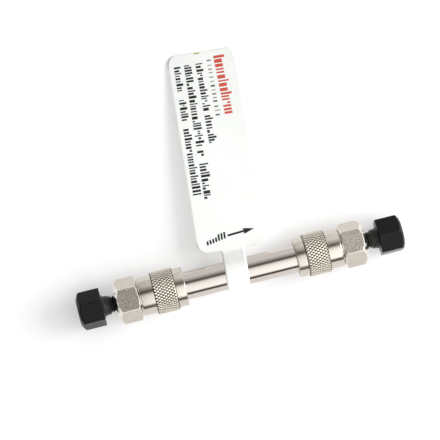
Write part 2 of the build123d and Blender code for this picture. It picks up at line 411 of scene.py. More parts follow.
# %% Grainy hex flats, spring steel and pressed frit
def grainy_steel(name, shade, smooth=0.18, rough=0.32, fade=0.12, relief=0.06):
    """Drawn bar after tumbling: dents of two sizes and a dull, warm cast with darker pits.

    fade is the half width of the blend between pit and tip; a wider one softens the grain.
    """
    steel = Recipe(name, Metallic=1.0)
    dents = steel.noise(5200, detail=5, roughness=0.7)
    mottle = steel.noise(2300, detail=3)
    both = steel.joined(steel.joined(dents, 0.5, "MULTIPLY"), steel.joined(mottle, 0.5, "MULTIPLY"))
    steel.colour(both, (0.50 - fade, 0.34 * shade, 0.31 * shade, 0.26 * shade),
                 (0.50, 0.55 * shade, 0.51 * shade, 0.45 * shade),
                 (0.50 + fade, 0.72 * shade, 0.68 * shade, 0.61 * shade))
    steel.rough(both, smooth, rough, 0.35, 0.65)
    steel.bump(both, relief)
    return steel.material


def spring_steel():
    """Oil-tempered wire: darker, with draw lines that run round the ring."""
    steel = Recipe("spring_steel", Metallic=1.0)
    lines = steel.noise(1.0, steel.stretched(9000, 400), detail=3)
    steel.colour(lines, (0.3, 0.20, 0.19, 0.18), (0.7, 0.34, 0.32, 0.30))
    steel.rough(lines, 0.26, 0.42)
    steel.bump(lines, 0.004)
    return steel.material


def frit_metal():
    """Powder pressed and fused: round grains with dark pores between them."""
    metal = Recipe("frit_metal", Metallic=1.0)
    pores = metal.grains(14000)
    metal.colour(pores, (0.1, 0.56, 0.54, 0.51), (0.6, 0.16, 0.15, 0.14))
    metal.rough(pores, 0.35, 0.75, 0.1, 0.7)
    metal.bump(metal.joined(1.0, pores, "SUBTRACT"), 0.02)
    return metal.material


grainy_finish = grainy_steel("grainy_steel", 1.06, fade=0.26, relief=0.035)
# The inlet's top flat takes a darker copy of the grain, a painted shade; the outlet's a rougher
# one.
top_flat_finishes = {"inlet": grainy_steel("grainy_steel_painted_shade", 0.60),
                 "outlet": grainy_steel("grainy_steel_matt", 0.98, 0.34, 0.46)}
spring_finish, frit_finish = spring_steel(), frit_metal()
print("finishes:", grainy_finish.name, *(f.name for f in top_flat_finishes.values()),
      spring_finish.name, frit_finish.name)


# %% [markdown]
# ## Plastics, silica and film
# The plugs are black moulded plastic with a faint orange-peel skin, shiny enough to pick out
# each facet; below the head the crests and shank are painted grey, a painted sheen. The ring
# that seals the frit is a natural tan plastic. The bed is white silica powder. The tag is a white
# film, slightly milky, with a satin face.

# %% Plastics, powder and film
def plug_plastic():
    """Black moulded plastic with a fine uneven skin."""
    plastic = Recipe("plug_plastic", IOR=1.5, Specular_IOR_Level=0.17)
    skin_grain = plastic.noise(3800, detail=4)
    handling = plastic.noise(420, detail=3)
    plastic.colour(handling, (0.35, 0.0015, 0.0015, 0.0015), (0.7, 0.004, 0.004, 0.004))
    plastic.feed("Roughness", plastic.joined(plastic.spread(skin_grain, 0.18, 0.28),
                                             plastic.spread(handling, -0.03, 0.05)))
    plastic.bump(skin_grain, 0.006)
    return plastic.material


def plug_shank_sheen_plastic():
    """The same plastic below the head: crests and shank painted grey, a painted sheen, grooves
    black.
    """
    plastic = Recipe("plug_shank_sheen_plastic", IOR=1.5, Specular_IOR_Level=0.17)
    # Grey by distance from the axis: a painted sheen on crests and shank, black in the grooves.
    groove_to_head = plastic.spread(plastic.axis_distance(), 0.0, 1.0, 2.0 * MM, 4.2 * MM)
    patchiness = plastic.spread(plastic.noise(2600, detail=3), -0.04, 0.04)
    plastic.colour(plastic.joined(groove_to_head, patchiness), (0.04, 0.0015, 0.0015, 0.0015),
                   (0.14, 0.040, 0.040, 0.038), (0.50, 0.032, 0.032, 0.031),
                   (0.92, 0.005, 0.005, 0.005))
    plastic.rough(plastic.noise(3800, detail=4), 0.24, 0.38)
    return plastic.material


def seal_plastic():
    """Tan engineering plastic with fine turning rings."""
    plastic = Recipe("seal_plastic", IOR=1.6)
    rings = plastic.noise(1.0, plastic.stretched(9000, 500), detail=3)
    plastic.colour(rings, (0.3, 0.50, 0.40, 0.27), (0.7, 0.58, 0.47, 0.33))
    plastic.rough(rings, 0.38, 0.55)
    plastic.bump(rings, 0.004)
    return plastic.material


def bed_silica():
    """Packed white powder."""
    powder = Recipe("bed_silica", IOR=1.45)
    grains = powder.grains(9000)
    powder.colour(grains, (0.1, 0.86, 0.85, 0.82), (0.7, 0.66, 0.65, 0.61))
    powder.rough(grains, 0.8, 0.95, 0.1, 0.7)
    powder.bump(grains, 0.03)
    return powder.material


def tag_film():
    """White film: milky and satin, a touch greyer towards the far end."""
    film = Recipe("tag_film", IOR=1.5, Subsurface_Weight=0.15, Subsurface_Scale=0.0006)
    clouds = film.noise(45, detail=3)
    tooth = film.noise(5200, detail=4)
    toward_far_end = film.spread(film.axes()["Y"], 0.30, -0.14, 0.010, 0.070)
    whiteness = film.joined(clouds, toward_far_end)
    film.colour(whiteness, (0.20, 0.84, 0.835, 0.82), (0.80, 0.94, 0.928, 0.90))
    film.feed("Roughness", film.joined(film.spread(tooth, 0.36, 0.48),
                                       film.spread(clouds, -0.02, 0.03)))
    film.bump(tooth, 0.003)
    return film.material


def print_ink(name, colour, thin):
    """Ink on film: even at arm's length, with tiny thin spots close up."""
    ink = Recipe(name, IOR=1.5)
    speckle = ink.noise(9000, detail=4, roughness=0.7)
    ink.colour(speckle, (0.55, *colour), (0.78, *thin))
    ink.rough(speckle, 0.38, 0.55)
    return ink.material


plug_finish, plug_shank_sheen_finish, seal_finish = plug_plastic(), plug_shank_sheen_plastic(), seal_plastic()
silica_finish, film_finish = bed_silica(), tag_film()
print("finishes:", plug_finish.name, plug_shank_sheen_finish.name, seal_finish.name,
      silica_finish.name, film_finish.name)

# %% [markdown]
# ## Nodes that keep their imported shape
# The bed, the frits, their rings and the split retaining rings are plain turned shapes that the
# model already holds exactly, and they are hidden inside. They only need their finish.

# %% Finish the inner parts
inner_finishes = {"packed_bed": silica_finish}
for end in ("inlet", "outlet"):
    inner_finishes[f"{end}_frit"] = frit_finish
    inner_finishes[f"{end}_frit_ring"] = seal_finish
    inner_finishes[f"{end}_retaining_ring"] = spring_finish
for node_name, finish in inner_finishes.items():
    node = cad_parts[node_name]
    if not node.data.materials:
        node.data.materials.append(finish)
    for node_slot in node.material_slots:
        node_slot.material = finish
print("finished in place:", len(inner_finishes), "inner nodes")

# %% [markdown]
# ## The tube
# A thick-walled tube, ground on the outside, with a groove near each end for the retaining ring.
# One outline, carried round the axis, draws outside, ends and bore at once. Many columns keep
# the mirror finish from showing facets.

# %% Build the tube
bed_bore_radius = 1.05
groove_depth = 0.4
groove_clearance = 0.04
edge_break = 0.2


def even_angles(count):
    """Angles spaced evenly round the axis, without repeating the first."""
    return np.arange(count) * 2 * math.pi / count


def make_tube():
    """The outer surface from -X to +X with both grooves, then back through the bore."""
    angles = even_angles(144)
    groove_floor = tube_radius - groove_depth
    groove_inner, groove_outer = ring_inner_side - groove_clearance, ring_outer_side
    half = [
        (groove_inner, tube_radius, 0.03), (groove_inner, groove_floor, 0),
        (groove_outer, groove_floor, 0), (groove_outer, tube_radius, 0.03),
        (tube_end - edge_break, tube_radius, 0.06), (tube_end, tube_radius - edge_break, 0.06),
        (tube_end, bed_bore_radius, 0),
    ]
    other_half = [(-along, radius, setback) for along, radius, setback in half[::-1]]
    return skin("column_tube_polished", turned(outline(angles, *other_half, *half), angles),
                loop_rows=True)


tube = crisp(make_tube())
seat(tube, "column", "column_tube", "polished_steel", polished)

# %% [markdown]
# ## Screw threads
# A thread is a ridge that climbs one pitch for each turn. Modelled as a radius that depends on
# both numbers of the grid, it needs no cutting: the distance along, less the share of a turn
# already made, says how far a point is from the crest. The same formula serves the bolt and, a
# hair wider, its hole, so they always mesh.

# %% Thread formula
flank_foot, flank_width = 0.82, 0.68


def thread_height(along, angles, pitch):
    """Right-hand thread, 1 on the crest and 0 in the root.

    d is the distance from the crest in half pitches, from the fraction of
    along / pitch - angle / turn, and the height is (foot - d) / width held between 0 and 1.
    """
    phase = (along / pitch - angles / (2 * math.pi)) % 1.0
    return np.clip((flank_foot - np.abs(phase - 0.5) * 2) / flank_width, 0, 1)


def thread_rows(angles, start, end, root, crest, pitch, rows_per_pitch=12):
    """Rows of a thread between two places along X, from start to end."""
    count = int(abs(end - start) / pitch * rows_per_pitch) + 2
    along = np.linspace(start, end, count)[:, None]
    radius = root + (crest - root) * thread_height(along, angles, pitch)
    return np.stack(np.broadcast_arrays(along, radius), axis=-1)


shank_pitch = 1.0
shank_crest, shank_root = 4.71, 4.46
thread_play = 0.05

# %% [markdown]
# ## Knurled nuts
# The knurl is what makes the nut easy to grip: two sets of spiral grooves, rolled one left and
# one right, leave rows of small pyramids. A bump map would look flat at the edge of the band, so
# the pyramids are real. Along a groove, angle and distance rise together, so the grid is spaced
# to make each groove run exactly through the corners of its faces. The height is the lower of two
# zigzags, one for each set, with the tips worn flat.

# %% Knurl formula
knurl_starts = 42
knurl_pitch_aimed = 1.32
knurl_depth = 0.31
knurl_tip = 0.74
pit_share = 0.82
rows_per_diamond = 8

collar_radius, neck_radius = 5.50, 5.40
collar_length, neck_length = 2.7, 3.8
knurl_bevel = 0.35
nut_bore_radius, nut_thread_radius = 4.02, 4.76
nut_edge, nut_bore_bevel, nut_mouth_bevel = 0.25, 0.4, 0.2
nut_thread_start, nut_thread_stop, nut_relief = 0.25, 1.6, 1.5


def zigzag(value):
    """Triangle wave: 0 at whole numbers and 1 halfway between them."""
    return 1 - np.abs(2 * (value % 1.0) - 1)


def knurl_rows(angles, start, end):
    """Rows of the knurled band: radius = tip circle - depth (1 - height of the pyramid).

    The height is the lower of the two zigzags, held at the flat tip, mixed with their mean.
    The mean makes each pit, where two grooves cross, deeper than the grooves beside it.
    """
    steps = round((end - start) / knurl_pitch_aimed * rows_per_diamond)
    row = np.arange(steps + 1)[:, None]
    along = start + (end - start) * row / steps
    turn_share = angles * knurl_starts / (2 * math.pi)
    rising = zigzag(turn_share + row / rows_per_diamond)
    falling = zigzag(turn_share - row / rows_per_diamond)
    lower = np.minimum(np.minimum(rising, falling) / knurl_tip, 1)
    mean = np.minimum((rising + falling) / (2 * knurl_tip), 1)
    pyramids = knurl_radius - knurl_depth * (1 - lower + pit_share * (lower - mean))
    edge = knurl_radius - knurl_bevel + np.minimum(along - start, end - along)
    radius = np.minimum(pyramids, edge)
    return np.stack(np.broadcast_arrays(along, radius), axis=-1)


# %% Build one knurled nut
def make_nut(end):
    """Collar, knurled band and neck outside; thread, ring shoulder and bore inside."""
    angles = even_angles(knurl_starts * rows_per_diamond)
    knurl_start = nut_inner_end + collar_length
    knurl_end = nut_outer_end - neck_length
    before = outline(
        angles,
        (nut_inner_end + nut_bore_bevel, nut_bore_radius, 0),
        (nut_inner_end, nut_bore_radius + nut_bore_bevel, 0.05),
        (nut_inner_end, collar_radius, nut_edge),
        (knurl_start, collar_radius, 0),
    )
    band = knurl_rows(angles, knurl_start, knurl_end)
    after = outline(
        angles,
        (knurl_end, neck_radius, 0), (nut_outer_end, neck_radius, nut_edge),
        (nut_outer_end, nut_thread_radius + nut_mouth_bevel, 0.05),
        (nut_outer_end - nut_mouth_bevel, nut_thread_radius, 0),
        thread_rows(angles, nut_outer_end - nut_thread_start, ring_outer_side + nut_thread_stop,
                    shank_root + thread_play, nut_thread_radius, shank_pitch, 6),
        (ring_outer_side + nut_relief, nut_thread_radius, 0),
        (ring_inner_side, nut_thread_radius, 0), (ring_inner_side, nut_bore_radius, 0),
    )
    rows = np.concatenate([before, band, after])
    row = np.arange(len(rows))[:, None] - len(before)
    column = np.arange(len(angles))
    on_band = (row >= 0) & (row < len(band) - 1)
    falling_groove = on_band & ((row + column + 1) % rows_per_diamond == 0)
    nut = skin(f"{end}_knurled_nut_turned", at_end(turned(rows, angles), end), loop_rows=True,
               turn_faces=falling_groove)
    flat_faces = np.broadcast_to(on_band, falling_groove.shape)
    shaded_recess = row == -len(before)
    nut.data.polygons.foreach_set("use_smooth", ~flat_faces.ravel())
    # Band faces take the knurl steel with its painted shade and highlight, the recess row its dark
    # copy, a painted shade.
    paint(nut, flat_faces * 1 + shaded_recess * 2)
    return nut


for end in ("inlet", "outlet"):
    nut = crisp(make_nut(end))
    seat(nut, "column", f"{end}_knurled_nut", "turned_steel", turned_finish, knurl_shade_finish,
         recess_shade_finish)

# %% [markdown]
# ## Hex bar, beveled on the lathe
# A hex is drawn bar whose corners are turned off at the ends. The cone of the tool meets each
# flat in an arc, the curved shoulder seen on every nut. Cutting one solid with another would give
# that arc as a ragged edge. Here the outline at each angle knows its own bar radius, so the bevel
# ends exactly where it meets the bar, and the shoulder is one clean row of the grid.

# %% Hexagon as a radius for each angle
def hex_angles(flat, edge_round, flat_steps, edge_steps):
    """Angles bunched at the six edges, with a flat centred on angle 0."""
    flat_half = math.atan((flat - edge_round) * math.tan(math.pi / 6) / flat)
    on_flat = np.linspace(-flat_half, flat_half, flat_steps, endpoint=False)
    on_edge = np.linspace(flat_half, math.pi / 3 - flat_half, edge_steps, endpoint=False)
    return (np.arange(6)[:, None] * math.pi / 3 + np.concatenate([on_flat, on_edge])).ravel()


def hex_radius(angles, flat, edge_round):
    """Distance from the axis to a hexagon with rounded edges.

    On a flat it is flat / cos(angle from its middle). On an edge it is the far side of a small
    circle centred c = (flat - round) / cos 30 out: c cos(a) + sqrt(round^2 - c^2 sin(a)^2).
    """
    sector = math.pi / 3
    from_flat = np.abs((angles + sector / 2) % sector - sector / 2)
    from_edge = sector / 2 - from_flat
    centre = (flat - edge_round) / math.cos(sector / 2)
    inside = np.maximum(edge_round ** 2 - (centre * np.sin(from_edge)) ** 2, 0)
    on_edge = centre * np.cos(from_edge) + np.sqrt(inside)
    flat_half = math.atan((flat - edge_round) * math.tan(sector / 2) / flat)
    return np.where(from_flat <= flat_half + same_place, flat / np.cos(from_flat), on_edge)


# %% Build one end fitting
hex_length = 6.65
hex_edge_round = 0.26
hex_flat_steps, hex_edge_steps = 10, 6
inner_bevel_rows, outer_bevel_rows = 4, 5
relief_radius, relief_length = 4.35, 0.6
shank_lead_in, shank_run_out = 0.36, 0.1
skirt_bore_radius = 4.00
inner_inset, inner_slope = 0.35, math.tan(math.radians(30))
outer_inset, outer_slope = 0.50, math.tan(math.radians(45))
rim_step, rim_width = 0.02, 0.05
port_thread_radius, port_core_radius, port_bevel = 2.45, 2.00, 0.3
port_lead_in = 0.02
capillary_radius, capillary_floor, capillary_mouth = 0.81, fitting_seat + 0.7, fitting_seat + 2.1
cone_end = capillary_mouth + (port_core_radius - capillary_radius) / math.tan(math.radians(20))
flow_radius, flow_cone_depth = 0.15, 0.35
port_pitch = 0.794
hex_turns = {"inlet": 6.5, "outlet": 0.0}


def make_end_fitting(end):
    """Skirt, threaded shank and hex outside; port thread, cone, seat and flow hole inside."""
    angles = hex_angles(hex_flat, hex_edge_round, hex_flat_steps, hex_edge_steps)
    bar = hex_radius(angles, hex_flat, hex_edge_round)
    hex_start = port_mouth - hex_length
    inner_face, outer_face = hex_flat - inner_inset, hex_flat - outer_inset
    shank = outline(
        angles,
        (skirt_end, skirt_bore_radius, 0), (skirt_end, relief_radius, 0.08),
        (fitting_seat, relief_radius, 0),
        thread_rows(angles, fitting_seat + shank_lead_in, hex_start - relief_length, shank_root,
                    shank_crest, shank_pitch, 10),
        (hex_start - relief_length + shank_run_out, relief_radius, 0),
        (hex_start, relief_radius, 0),
        (hex_start, inner_face, 0.05),
    )
    flats = outline(
        angles,
        (hex_start, inner_face, 0),
        (hex_start + (bar - inner_face) * inner_slope, bar, 0.05),
        (port_mouth - (bar - outer_face) * outer_slope, bar, 0.05),
        (port_mouth, outer_face, 0),
    )[1:-1]
    port = outline(
        angles,
        (port_mouth - rim_step, outer_face + rim_step, 0),
        (port_mouth - rim_step / 2, outer_face, 0), (port_mouth, outer_face - rim_width, 0),
        (port_mouth, port_thread_radius + port_bevel, 0.04),
        (port_mouth - port_bevel, port_thread_radius, 0),
        thread_rows(angles, port_mouth - port_bevel - port_lead_in, cone_end, port_core_radius,
                    port_thread_radius, port_pitch),
        (cone_end, port_core_radius, 0), (capillary_mouth, capillary_radius, 0),
        (capillary_floor, capillary_radius, 0), (capillary_floor, flow_radius, 0),
        (fitting_seat + flow_cone_depth, flow_radius, 0), (fitting_seat, bed_bore_radius, 0),
        (fitting_seat, skirt_bore_radius, 0),
    )
    rows = np.concatenate([shank, flats, port])
    fitting = skin(f"{end}_end_fitting_cut",
                   at_end(turned(rows, angles), end, hex_turns[end]), loop_rows=True)
    row = np.arange(len(rows))[:, None] - len(shank)
    column = np.arange(len(angles))
    on_flat = column % (hex_flat_steps + hex_edge_steps) < hex_flat_steps
    on_top_flat = column < hex_flat_steps
    drawn = (row >= inner_bevel_rows) & (row < len(flats) - outer_bevel_rows) & on_flat
    # Bevels and hex edges take the lighter steel, a painted highlight; the top flat takes its own
    # copy.
    paint(fitting, drawn * 1 + (drawn & on_top_flat))
    return fitting


for end in ("inlet", "outlet"):
    fitting = crisp(make_end_fitting(end), crease=50)
    seat(fitting, "column", f"{end}_end_fitting", "blasted_steel", bevel_finish,
         grainy_finish, top_flat_finishes[end])

# %% [markdown]
# ## Screw plugs
# Shipping plugs keep the packing wet. Each is moulded in one piece: a hex head to turn by hand or
# spanner, a waisted shank that flares into the head, the thread, and a nose that follows the
# port's cone. The port and the plug share one thread formula. The plug is turned to where its
# head stopped, so its thread is turned back by as much, and the two run side by side.

# %% Build one plug
head_length = 6.93
head_edge_round = 0.28
head_inset, head_slope = 1.0, math.tan(math.radians(30))
head_flat_steps, head_edge_steps = 14, 7
plug_shank_radius, shank_fillet = 2.7, 1.2
plug_crest, plug_root, nose_radius = 2.40, 1.96, 1.0
thread_end, run_out_length, run_out_slope = port_mouth + 1.8, 0.3, 0.9
lead_in_step = 0.02
nose_slope = math.tan(math.radians(20))
plug_turns = {"inlet": 18.0, "outlet": 30.0}
head_margin = 0.02


def plug_thread(angles, start, end, past_port):
    """The thread, cut down to a cone where it starts and filled up where it runs out.

    past_port is how many degrees the plug is turned past its port, so that the threads mesh.
    """
    rows = thread_rows(angles + math.radians(past_port), start, end, plug_root, plug_crest,
                       port_pitch, 16)
    along, radius = rows[..., 0], rows[..., 1]
    lead_in = plug_root - lead_in_step + (along - start)
    run_out = plug_crest - (end - along) * run_out_slope
    radius = np.minimum(np.maximum(radius, np.minimum(run_out, plug_crest)), lead_in)
    return np.stack([along, radius], axis=-1)


def make_plug(end):
    """Nose, thread, flared shank and hex head, closed at both ends by a pole."""
    turn = plug_turns[end]
    past_port = (turn - hex_turns[end]) * (1 if end == "outlet" else -1)
    angles = hex_angles(head_flat, head_edge_round, head_flat_steps, head_edge_steps)
    bar = hex_radius(angles, head_flat, head_edge_round)
    nose_base = nose_tip + (plug_root - nose_radius) / nose_slope
    head_start = head_end - head_length
    face = head_flat - head_inset
    rows = outline(
        angles,
        (nose_tip, 0, 0), (nose_tip, nose_radius, 0.12),
        plug_thread(angles, nose_base, thread_end, past_port),
        (thread_end + run_out_length, plug_shank_radius, 0.1),
        (head_start, plug_shank_radius, shank_fillet),
        (head_start, bar, 0.15),
        (head_end - (bar - face) * head_slope, bar, 0.30),
        (head_end, face, 0.25),
        (head_end, 0, 0),
    )
    plug = skin(f"{end}_plug_moulded", at_end(turned(rows, angles), end, turn))
    centres = np.empty(3 * len(plug.data.polygons), dtype=np.float32)
    plug.data.polygons.foreach_get("center", centres)
    paint(plug, np.abs(centres[0::3]) < (head_start - head_margin) * MM)
    return plug


for end in ("inlet", "outlet"):
    plug = crisp(make_plug(end), crease=50)
    seat(plug, f"{end}_plug", f"{end}_plug", "plug_plastic", plug_finish, plug_shank_sheen_finish)

# %% [markdown]
# ## The tag's path
# The tag is one strip of film. It starts at the far end of the flag, comes forward to the tube,
# goes once round it and runs back under itself, where the glue holds the two plies together.
# Seen from the tube's end that path is two tangents off a circle that bend into one line. The
# film can only curve one way, so a single path and a width describe the whole tag.

# %% Path of the film round the tube
film_thickness = 0.18
ply_gap = 0.012
film_play = 0.03
loop_radius = tube_radius + film_play + film_thickness / 2
loop_reach, bend_radius = 6.2, 1.5
tag_lean = math.radians(5.0)
neck_offset = -1.1
flag_start, flag_length, flag_half_width = 7.0, 58.3, 9.75
neck_half_width, root_fillet, flag_corner = 3.2, 0.8, 2.6


def tag_reach():
    """How far the flag's farthest corner lies behind the axis."""
    along = flag_start + flag_length - flag_corner
    across = flag_half_width - flag_corner
    return along * math.cos(tag_lean) + across * math.sin(tag_lean) + flag_corner


floor_gap = 0.05
tag_drop = -floor_height - floor_gap
tag_droop = math.atan2(tag_drop, tag_reach()) - math.asin(
    film_thickness / math.hypot(tag_reach(), tag_drop))


loop_steps, bend_steps = 60, 16
path_reach = 200.0


def film_path():
    """Points (length, back, up) of the upper ply from the front of the loop to past the flag.

    Arc of the loop, tangent, arc of the bend, straight: each is sampled and the lengths added.
    """
    half_wedge = math.asin((tube_radius + film_play) / loop_reach)
    bend_centre_up = bend_radius + film_thickness
    bend_mid = bend_centre_up - film_thickness / 2 - ply_gap / 2
    bend_centre_back = loop_reach + bend_centre_up * math.tan(half_wedge / 2)
    round_loop = np.linspace(math.pi, math.pi / 2 - half_wedge, loop_steps)
    round_bend = np.linspace(half_wedge, 0, bend_steps)
    back = np.concatenate([loop_radius * np.cos(round_loop),
                           bend_centre_back - bend_mid * np.sin(round_bend), [path_reach]])
    up = np.concatenate([loop_radius * np.sin(round_loop),
                         bend_centre_up - bend_mid * np.cos(round_bend),
                         [bend_centre_up - bend_mid]])
    length = np.concatenate([[0], np.cumsum(np.hypot(np.diff(back), np.diff(up)))])
    return length, back, up


path_length, path_back, path_up = film_path()
straight_offset = path_length[-1] - path_back[-1]
print(f"tag droops {math.degrees(tag_droop):.2f} degrees, "
      f"reaches {tag_reach():.2f} mm behind the axis")

# %% [markdown]
# ## The tag's sheet
# The flag isn't perfectly flat: film that was wound on a roll keeps a slight bow, and it lifts a
# little at one corner. The formula adds both as smooth humps, small enough that the far end still
# rests on the surface. Rows near the tube stay square to the path, and rows in the flag turn to
# run with the tag's lean, so the cut edges come out straight.

# %% Place points on the film
bow_height, bow_lean, corner_lift = 0.45, 0.25, 0.35
lean_start = 3.0


def length_at(along):
    """Path length of a place that lies so far along the leaning tag, measured from the axis."""
    return straight_offset + along * math.cos(tag_lean) / math.cos(tag_droop)


def film_point(length, across, ply, lift=0.0):
    """Points of a ply: +1 is the upper and -1 the lower, lifted off its middle by lift.

    back and up are read from the path, tilted down by the droop, and then the sheet is bowed:
    up += bow sin(pi t) + corner lift t^3 (across share), with t from 0 at the bend to 1 at the
    far end. Across the film x = offset + back tan(lean) + across / cos(lean).
    """
    leaves_loop = length_at(lean_start)
    joins_flag = length_at(flag_start)
    blend = np.clip((length - leaves_loop) / (joins_flag - leaves_loop), 0, 1)
    blend = blend * blend * (3 - 2 * blend)
    shifted = length - blend * across * math.sin(tag_lean) / math.cos(tag_droop)
    back = np.interp(shifted, path_length, path_back)
    up = ply * np.interp(shifted, path_length, path_up) + lift
    back, up = (back * math.cos(tag_droop) + up * math.sin(tag_droop),
                up * math.cos(tag_droop) - back * math.sin(tag_droop))
    t = np.clip((length - joins_flag) / (length_at(flag_start + flag_length) - joins_flag), 0, 1)
    share = across / flag_half_width
    up = up + bow_height * np.sin(math.pi * t) * (1 - bow_lean * share) + corner_lift * (
        t ** 3) * np.clip(share, 0, 1) ** 2
    along = neck_offset + back * math.tan(tag_lean) + across / math.cos(tag_lean)
    return np.stack(np.broadcast_arrays(along, back, up), axis=-1)


# %% [markdown]
# ## Cutting the tag's outline
# A punch cut this outline: a narrow neck, a small fillet at each side of it, then a wide flag
# with round corners. The grid's columns are squeezed together or apart to follow the width, which
# gives true round corners without a single odd face. The columns outside the neck simply have no
# faces until the flag starts.

# %% Build the tag
neck_steps, fillet_steps, corner_steps, flag_steps = 44, 7, 9, 46
inner_columns, wing_columns = 13, 8
upper_ply_trim = 0.25


def eased_steps(count):
    """Steps from 0 to 1 that start bunched, as 1 - cos."""
    return 1 - np.cos(np.linspace(0, math.pi / 2, count))


def tag_grid(ply, end_trim):
    """Points of one ply from the loop's front to the far end, and how many rows are neck."""
    flag_end = flag_start + flag_length - end_trim
    fillet_start = flag_start - root_fillet
    neck_length = np.linspace(0, length_at(fillet_start), neck_steps, endpoint=False)
    fillet_turn = np.linspace(0, math.pi / 2, fillet_steps)[:-1]
    fillet_along = fillet_start + root_fillet * np.sin(fillet_turn)
    corner_in = flag_start + flag_corner * eased_steps(corner_steps)
    middle = np.linspace(flag_start + flag_corner, flag_end - flag_corner, flag_steps)[1:-1]
    corner_out = flag_end - flag_corner * eased_steps(corner_steps)[::-1]
    flag_along = np.concatenate([corner_in, middle, corner_out])
    length = np.concatenate([neck_length, length_at(fillet_along), length_at(flag_along)])

    fillet_rise = (fillet_along - fillet_start) / root_fillet
    fillet_half = neck_half_width + root_fillet * (1 - np.sqrt(1 - fillet_rise ** 2))
    neck_half = np.concatenate([np.full(neck_steps, neck_half_width), fillet_half])
    from_edge = np.minimum(flag_along - flag_start, flag_end - flag_along)
    into_corner = np.clip(1 - from_edge / flag_corner, 0, 1)
    flag_half = flag_half_width - flag_corner * (1 - np.sqrt(1 - into_corner ** 2))

    neck_share = (neck_half_width + root_fillet) / (flag_half_width - flag_corner)
    inner = np.linspace(-1, 1, inner_columns)
    wing = neck_share + (1 - neck_share) * np.linspace(0, 1, wing_columns + 1)[1:]
    shares = np.concatenate([-wing[::-1], inner * neck_share, wing])
    half_width = np.concatenate([neck_half / neck_share, flag_half])
    return film_point(length[:, None], half_width[:, None] * shares, ply), len(neck_half)


def make_tag():
    """Upper ply from far end to loop, then lower ply from loop to far end, as one strip."""
    upper, neck_rows = tag_grid(+1, upper_ply_trim)
    lower, _ = tag_grid(-1, 0.0)
    strip = np.concatenate([upper[::-1], lower[1:]])
    middle_row = len(upper) - 1
    row = np.abs(np.arange(len(strip) - 1) + 0.5 - middle_row)[:, None]
    column = np.arange(strip.shape[1] - 1)
    inside_neck = (column >= wing_columns) & (column < strip.shape[1] - 1 - wing_columns)
    keep = (row > neck_rows) | inside_neck
    return skin("label_tag_film", strip, loop_columns=False, keep=keep)


tag = make_tag()
thickness = tag.modifiers.new("film_thickness", "SOLIDIFY")
thickness.thickness = film_thickness * MM
thickness.offset = 0
thickness.use_even_offset = True
crisp(tag, crease=50)
seat(tag, "column", "label_tag", "tag_film", film_finish)

# %% [markdown]
# ## Print on the tag
# The printing is shown as what it is from arm's length: runs of small dark marks, one bold red
# run and an arrow for the direction of flow. No run spells anything. Each mark is a thin solid
# laid on the film with the film's own formula, so it follows the bow of the sheet exactly.

# %% Blocks of ink on the film
ink_height = 0.02
top_face = film_thickness / 2 + 0.002


def ink_blocks(name, across_low, across_high, along_low, along_high):
    """Thin boxes of ink, one for each item of the four arrays, in the tag's own coordinates."""
    corner_across = np.stack([across_low, across_high, across_high, across_low], axis=-1)
    corner_along = np.stack([along_low, along_low, along_high, along_high], axis=-1)
    return ink_prisms(name, corner_across, corner_along)


def ink_prisms(name, across, along):
    """Thin solids of ink over outlines [item, corner], which run counter-clockwise from above."""
    items, corners = across.shape
    low = film_point(length_at(along), across, +1, top_face)
    high = film_point(length_at(along), across, +1, top_face + ink_height)
    points = np.stack([low, high], axis=1).reshape(-1, 3)
    base = np.arange(items)[:, None] * 2 * corners
    step = np.arange(corners)
    floor_loop = base + step[::-1]
    lid_loop = base + corners + step
    side = np.stack([step, (step + 1) % corners, (step + 1) % corners + corners, step + corners],
                    axis=-1)
    walls = (base[:, :, None] + side[None]).reshape(-1, 4)
    faces = [list(face) for face in (*floor_loop.tolist(), *lid_loop.tolist(), *walls.tolist())]
    mesh = bpy.data.meshes.new(name)
    mesh.from_pydata((points * MM).tolist(), [], faces)
    mesh.update()
    print(f"{name}: {items} marks")
    return placed(name, mesh)


# %% Runs of marks
marks_seed = 7
tall_share, raised_foot, middle_top, low_top = 0.30, 0.40, 0.72, 0.32
dice = np.random.default_rng(marks_seed)


def run_of_marks(words, left, slope, height, stroke, gap, growth=1.0, short=0.18):
    """Strokes and blocks that fill words (start, end) along the tag, read from the far end.

    left is the line's foot across the tag at the far end and slope how far it moves across for
    each millimetre towards the tube. Marks are about a stroke wide and a gap apart, and growth is
    how many times taller the last is than the first. A fixed random draw picks tall marks,
    middling ones and a short share that sit at the foot or hang from the middle line.
    """
    lows, highs = [], []
    for start, end in words:
        count = int((start - end) / (0.75 * (stroke + gap))) + 1
        wide = stroke * (0.7 + 1.3 * dice.random(count) ** 2)
        step = wide + gap * (0.7 + 0.6 * dice.random(count))
        high = start - np.concatenate([[0], np.cumsum(step)[:-1]])
        inside = high - wide > end - 0.1
        highs.append(high[inside])
        lows.append((high - wide)[inside])
    low, high = np.concatenate(lows), np.concatenate(highs)
    done = (words[0][0] - high) / (words[0][0] - words[-1][1])
    size = height * (1 + (growth - 1) * done)
    kind = dice.random(len(high))
    foot_share = np.where(kind > 1 - short / 2, raised_foot, 0.0)
    top_share = np.select([kind < tall_share, kind > 1 - short / 2, kind > 1 - short],
                          [1.0, middle_top, low_top], middle_top)
    foot = left + slope * (words[0][0] - high)
    return foot + foot_share * size, foot + top_share * size, low, high


